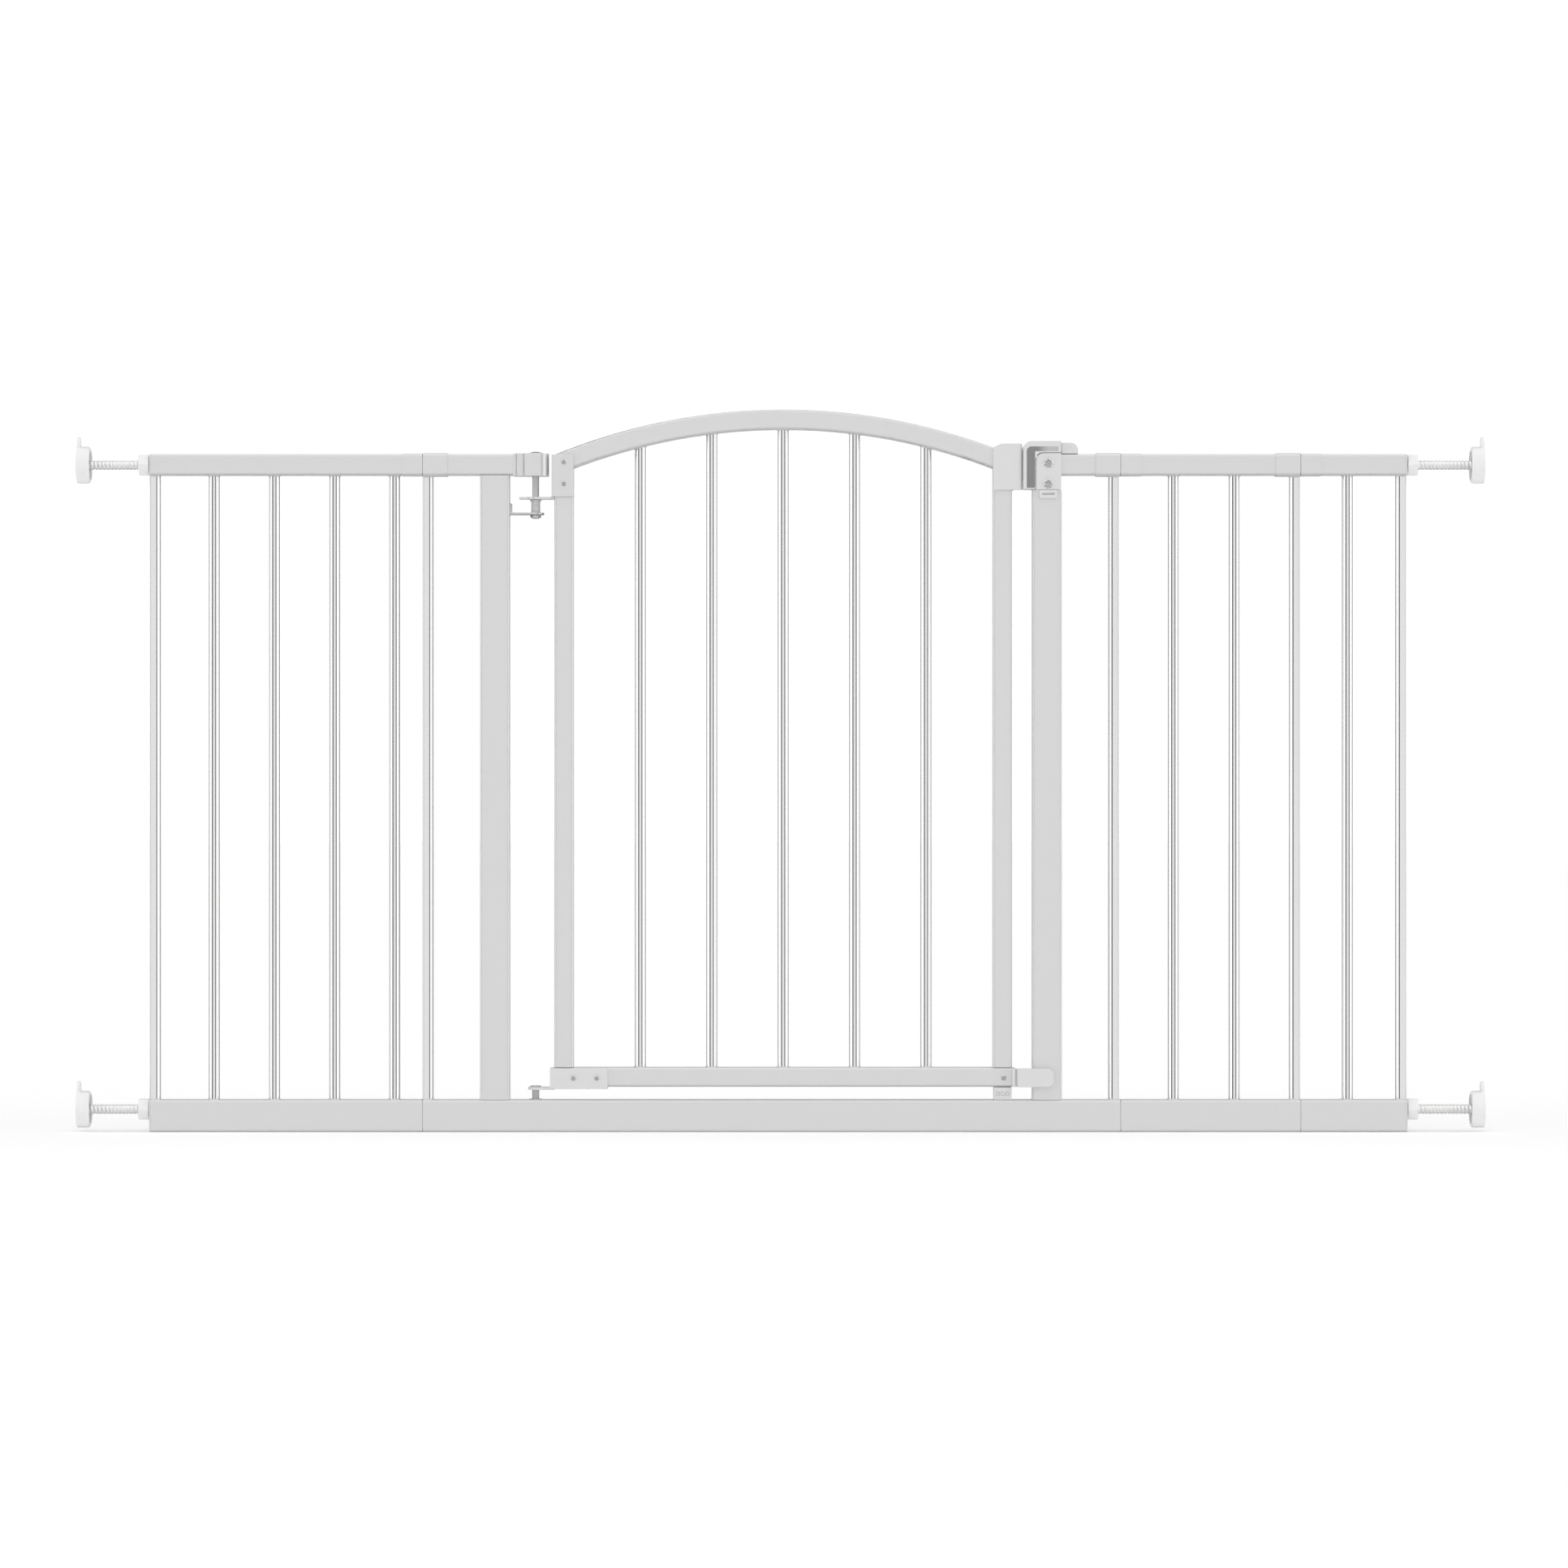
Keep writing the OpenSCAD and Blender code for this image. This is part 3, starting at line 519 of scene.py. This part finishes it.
thread = Shape(
    "rolled_thread",
    Length="Float",
    Crest="Float",
    Root="Float",
    Pitch="Float",
    Centre="Vector",
)
RINGS_PER_TURN = 10
blank = thread.node(
    "GeometryNodeMeshCylinder",
    {"fill_type": "TRIANGLE_FAN"},
    {
        "Vertices": 32,
        "Side Segments": thread.given("Length") / thread.given("Pitch") * RINGS_PER_TURN,
        "Radius": thread.given("Crest"),
        "Depth": thread.given("Length"),
    },
)
x, y, z = thread.node("GeometryNodeInputPosition").parts()
turns = z / thread.given("Pitch") - y.maths("ARCTAN2", x) / math.tau
ridge = abs(turns.maths("FRACT") * 2 - 1).step(0.1, 0.8)
tip = ((thread.given("Length") / 2 - abs(z)) / thread.given("Pitch")).step(0, 0.8)
depth = thread.given("Crest") - thread.given("Root")
shrink = (thread.given("Root") + depth * ridge * tip) / thread.given("Crest")
rolled = thread.node("ShaderNodeCombineXYZ", {}, {0: x * shrink, 1: y * shrink, 2: z})
cut = thread.node("GeometryNodeSetPosition", {}, {"Geometry": blank, "Position": rolled})
laid = {
    "Geometry": cut,
    "Translation": thread.given("Centre"),
    "Rotation": (0, math.radians(90), 0),
}
thread.close(thread.node("GeometryNodeTransform", {}, laid))

# %% Thread the four rods
PITCH = 4 * MM
GROOVE = 0.85 * MM
for corner in CORNERS:
    node = "rod_" + corner
    low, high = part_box(node)
    crest = (high.z - low.z) / 2
    piece = thread.make(
        node + "_thread",
        bpy.data.meshes.new(node),
        Length=high.x - low.x,
        Crest=crest,
        Root=crest - GROOVE,
        Pitch=PITCH,
        Centre=(low + high) / 2,
        Material=rod_zinc,
    )
    dress(piece, slot_of[node], body_of[node], node)
print("rod thread, faces each:", len(piece.data.polygons))

# %% [markdown]
# ## Screw heads
# Two big screws hold the latch to its post and five small ones hold the door's fittings. All have
# a domed head with a cross recess, and the big ones have teeth round the rim to grip the plastic.
# The head is one more rule on a cylinder: the top drops away from the middle, and sinks where the
# cross is. The tree sets one head on each point that it is given, turned the way that the point
# says.

# %% The screw's node tree
def seats(name, places, way):
    """A mesh of loose points, each with the direction that its head faces."""
    mesh = bpy.data.meshes.new(name)
    mesh.from_pydata(places, [], [])
    ways = mesh.attributes.new("way", "FLOAT_VECTOR", "POINT")
    for entry in ways.data:
        entry.vector = way
    return mesh


screw = Shape(
    "cross_head_screw", Radius="Float", Height="Float", Recess="Float", Teeth="Float"
)
radius = screw.given("Radius")
height = screw.given("Height")
blank = screw.node(
    "GeometryNodeMeshCylinder",
    {"fill_type": "TRIANGLE_FAN"},
    {"Vertices": 48, "Side Segments": 1, "Fill Segments": 20, "Radius": radius, "Depth": height},
)
x, y, z = screw.node("GeometryNodeInputPosition").parts()
out = (x * x + y * y).maths("SQRT") / radius
crown = 1 - out.maths("POWER", 3) * 0.6
TEETH = 8


def slot_arm(along, across):
    """1 inside one arm of the cross, sloping to 0 at its walls."""
    within = 1 - (abs(along) / radius).step(0.42, 0.58)
    return within * (1 - (abs(across) / radius).step(0.06, 0.2))


cross = slot_arm(x, y).maths("MAXIMUM", slot_arm(y, x))
top = z.maths("GREATER_THAN", 0)
round_angle = y.maths("ARCTAN2", x) * TEETH
teeth = round_angle.maths("SINE").step(-0.2, 0.5) * out.step(0.68, 0.8)
cuts = cross * screw.given("Recess") + teeth * screw.given("Teeth")
raised = height * (crown - 0.5) - cuts
level = z + (raised - z) * top
domed = screw.node("ShaderNodeCombineXYZ", {}, {0: x, 1: y, 2: level})
head = screw.node("GeometryNodeSetPosition", {}, {"Geometry": blank, "Position": domed})
way = screw.node(
    "GeometryNodeInputNamedAttribute", {"data_type": "FLOAT_VECTOR"}, {"Name": "way"}
)
turned = screw.node("FunctionNodeAlignRotationToVector", {"axis": "Z"}, {"Vector": way})
placed = {"Points": screw.given("Geometry"), "Instance": head, "Rotation": turned}
screw.close(screw.node("GeometryNodeInstanceOnPoints", {}, placed))


# %% [markdown]
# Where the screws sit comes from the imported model. A node can hold several solids, so a helper
# walks its joined faces and gives the box of each one.

# %% Find each solid of a node
def solids(node):
    """The lowest and highest corner of every separate solid in a node, from left to right."""
    shape = bmesh.new()
    shape.from_mesh(joined(node))
    waiting = set(shape.verts)
    boxes = []
    while waiting:
        group = [waiting.pop()]
        for vert in group:
            near = {edge.other_vert(vert) for edge in vert.link_edges} & waiting
            waiting -= near
            group.extend(near)
        places = [vert.co for vert in group]
        boxes.append(
            tuple(Vector([pick(p[i] for p in places) for i in range(3)]) for pick in (min, max))
        )
    shape.free()
    return sorted(boxes, key=lambda box: tuple(box[0]))


# %% Set the screws
def set_screws(node, head_height, recess, teeth):
    """Domed heads in place of a node's plain ones."""
    boxes = solids(node)
    half = [(high.z - low.z) / 2 for low, high in boxes]
    places = [
        ((low.x + high.x) / 2, low.y + head_height / 2, (low.z + high.z) / 2)
        for low, high in boxes
    ]
    piece = screw.make(
        node + "_heads",
        seats(node, places, (0, -1, 0)),
        Radius=max(half),
        Height=head_height,
        Recess=recess,
        Teeth=teeth,
        Material=finishes[slot_of[node]],
    )
    dress(piece, slot_of[node], body_of[node], node)
    print(node, "screws:", len(places), "head radius, mm:", round(max(half) / MM, 2))


set_screws("latch_screws", 2.2 * MM, 1.8 * MM, 0.8 * MM)
set_screws("bracket_screws", 1.4 * MM, 1.1 * MM, 0.0)

# %% [markdown]
# ## Weld beads
# Each bar is pushed against its rail and welded round, and the coat goes over the weld. Without
# a bead the bars look slid into place. A bead follows a path, a ring round each bar's end, so the
# rings are drawn as plain edges first. The tree turns them into curves and sweeps a small round
# along them that swells and thins with every puddle of the weld. At the arch the rings lie on
# its inner face, which leans a little at each bar.

# %% The bead's node tree
SWELL = 0.12
bead = Shape("weld_bead", Radius="Float", Ripple="Float")
path = bead.node("GeometryNodeMeshToCurve", {}, {"Mesh": bead.given("Geometry")})
even = {"Curve": path, "Length": bead.given("Ripple") / 2}
path = bead.node("GeometryNodeResampleCurve", {"mode": "LENGTH"}, even)
travelled = bead.node("GeometryNodeSplineParameter", out="Length")
puddle = (travelled / bead.given("Ripple") * math.tau).maths("SINE") * SWELL + 1
ring = bead.node(
    "GeometryNodeCurvePrimitiveCircle", {}, {"Resolution": 8, "Radius": bead.given("Radius")}
)
swept = {"Curve": path, "Profile Curve": ring, "Scale": puddle, "Fill Caps": True}
bead.close(bead.node("GeometryNodeCurveToMesh", {}, swept))


# %% Lay the beads
RING_POINTS = 24
BEAD = 0.9 * MM
RIPPLE = 1.3 * MM
CORNER_SHARE = 0.32


def ring_path(centre, up, radius):
    """Points of a ring round centre, square to up."""
    across = Vector((0, 1, 0))
    side = across.cross(up).normalized()
    angles = [math.tau * i / RING_POINTS for i in range(RING_POINTS)]
    return [centre + (side * math.cos(a) + across * math.sin(a)) * radius for a in angles]


def bead_mesh(name, rings, lines=()):
    mesh = bpy.data.meshes.new(name)
    points = []
    edges = []
    for ring_points in rings:
        first = len(points)
        count = len(ring_points)
        points += ring_points
        edges += [(first + i, first + (i + 1) % count) for i in range(count)]
    for line in lines:
        edges.append((len(points), len(points) + 1))
        points += line
    mesh.from_pydata(points, edges, [])
    return mesh


def lay_beads(name, mesh, body):
    piece = bead.make(name, mesh, Radius=BEAD, Ripple=RIPPLE, Material=rail_paint)
    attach(piece, body)
    print(name, "faces:", len(piece.data.polygons))


UP = Vector((0, 0, 1))
panel_rings = []
for low, high in solids("panel_bars"):
    middle = (low + high) / 2
    for level in (low.z, high.z):
        panel_rings.append(ring_path(Vector((middle.x, 0, level)), UP, (high.x - low.x) / 2))
corner_lines = []
for low, high in solids("end_bars"):
    middle = (low + high) / 2
    reach = (high.x - low.x) * CORNER_SHARE
    for level in (low.z, high.z):
        for face in (low.y, high.y):
            line = [Vector((middle.x + way * reach, face, level)) for way in (-1, 1)]
            corner_lines.append(line)
lay_beads("panel_welds", bead_mesh("panel_welds", panel_rings, corner_lines), "frame")

ARCH_CENTRE = Vector((2.7, 0, 127)) * MM
ARCH_INNER = 614 * MM
door_rings = []
for low, high in solids("door_bars"):
    middle = (low + high) / 2
    radius = (high.x - low.x) / 2
    door_rings.append(ring_path(Vector((middle.x, 0, low.z)), UP, radius))
    reach = middle.x - ARCH_CENTRE.x
    rise = math.sqrt(ARCH_INNER**2 - reach**2)
    foot = ARCH_CENTRE + Vector((reach, 0, rise))
    door_rings.append(ring_path(foot, (foot - ARCH_CENTRE).normalized(), radius))
lay_beads("door_welds", bead_mesh("door_welds", door_rings), "door")

# %% [markdown]
# ## The studio
# Pale things on a white floor need something dark to mirror, or their edges melt away. A product
# studio hangs narrow dark cards beside the camera, which become the two stripes on each bar, and
# dark flags behind to the sides, which the outer edges of round bars mirror. Bright cards stand at
# the sides, the lower half is a little dimmer, and behind there are dark flags above and below
# eye level as well.
# Everything else is white card. Here the whole ring of cards is the world, written as a
# brightness for each direction. Bearings are in degrees, 0 towards the camera. Heights are the z
# of the direction. Each pair says where a rise starts and where it is complete.

# %% The ring of cards
CARD_HALF = 12
CARD_SOFT = 3
# bearing of each dark card and how much light it takes away
DARK_CARDS = ((-35, 0.95), (35, 0.8))
FRONT_GLOW = 0.84
SIDE_START = (46, 58)
SIDE_END = (160, 168)
SIDE_GLOW = 0.5
SIDE_DIP = 0.85
FLAG_START = (110, 124)
FLAG_END = (163, 168)
FLAG_DARK = 0.85
LOWER_HALF = (0.18, 0.5)
LOWER_DARK = 0.4
BEHIND_START = (115, 130)
OFF_LEVEL = (0.16, 0.24)
NEAR_POLE = (0.8, 0.95)
BEHIND_DARK = 0.8
OVERHEAD = (0.4, 0.65)
WORLD_STRENGTH = 1.2
world = bpy.data.worlds.new("studio")
world.use_nodes = True
bpy.context.scene.world = world
sky = Bench(world.node_tree)
x, y, z = sky.node("ShaderNodeTexCoord", out="Generated").parts()
bearing = x.maths("ARCTAN2", y * -1) * (180 / math.pi)


def card(middle, half, soft):
    """1 where the bearing is on a card, with a soft edge."""
    return 1 - abs(bearing - middle).step(half - soft, half + soft)


overhead = z.step(*OVERHEAD)
lower = (z * -1).step(*LOWER_HALF)
sides = abs(bearing).step(*SIDE_START) * (1 - abs(bearing).step(*SIDE_END) * SIDE_DIP) * SIDE_GLOW
flags = abs(bearing).step(*FLAG_START) * (1 - abs(bearing).step(*FLAG_END))
glow = FRONT_GLOW + sides
for middle, dark in DARK_CARDS:
    glow = glow * (1 - card(middle, CARD_HALF, CARD_SOFT) * dark)
glow = glow * (1 - flags * FLAG_DARK) * (1 - lower * LOWER_DARK)
behind = abs(bearing).step(*BEHIND_START) * abs(z).step(*OFF_LEVEL)
behind = behind * (1 - abs(z).step(*NEAR_POLE))
brightness = (glow * (1 - overhead) + overhead) * (1 - behind * BEHIND_DARK) * WORLD_STRENGTH
sky.feed(world.node_tree.nodes["Background"].inputs["Strength"], brightness)
world.node_tree.nodes["Background"].inputs["Color"].default_value = (1, 1, 1, 1)
print("world nodes:", len(world.node_tree.nodes))

# %% [markdown]
# The floor is a wide pale sheet with a faint light of its own, which keeps it near white. Shiny
# pieces don't mirror it, so below eye level they show the cards too.

# %% Floor
FLOOR_HALF = 30
FLOOR_TONE = 0.93
FLOOR_LIGHT = 0.15
floor_mesh = bpy.data.meshes.new("floor")
ways = ((-1, -1), (1, -1), (1, 1), (-1, 1))
floor_mesh.from_pydata(
    [(wide * FLOOR_HALF, deep * FLOOR_HALF, 0) for wide, deep in ways], [], [(0, 1, 2, 3)]
)
floor = new_piece("floor", floor_mesh)
pale = bpy.data.materials.new("pale_floor")
pale.use_nodes = True
ground = pale.node_tree.nodes["Principled BSDF"]
ground.inputs["Base Color"].default_value = (*grey(FLOOR_TONE), 1)
ground.inputs["Roughness"].default_value = 0.8
ground.inputs["Specular IOR Level"].default_value = 0.1
ground.inputs["Emission Color"].default_value = (1, 1, 1, 1)
ground.inputs["Emission Strength"].default_value = FLOOR_LIGHT
floor_mesh.materials.append(pale)
floor.visible_glossy = False
print("floor, m:", 2 * FLOOR_HALF)

# %% [markdown]
# ## The camera
# A long lens from well back keeps the bars upright and parallel.

# %% Camera
AWAY = 5.98
AIM_X = 3.6 * MM
AIM_Z = 0.367
lens = bpy.data.cameras.new("camera")
lens.sensor_width = 36
lens.lens = 130
camera = bpy.data.objects.new("camera", lens)
camera.location = (AIM_X, -AWAY, AIM_Z)
camera.rotation_euler = (math.radians(90), 0, 0)
bpy.context.scene.collection.objects.link(camera)
bpy.context.scene.camera = camera
bpy.context.scene.view_settings.view_transform = "Standard"
print("field across the gate, m:", round(AWAY * lens.sensor_width / lens.lens, 3))
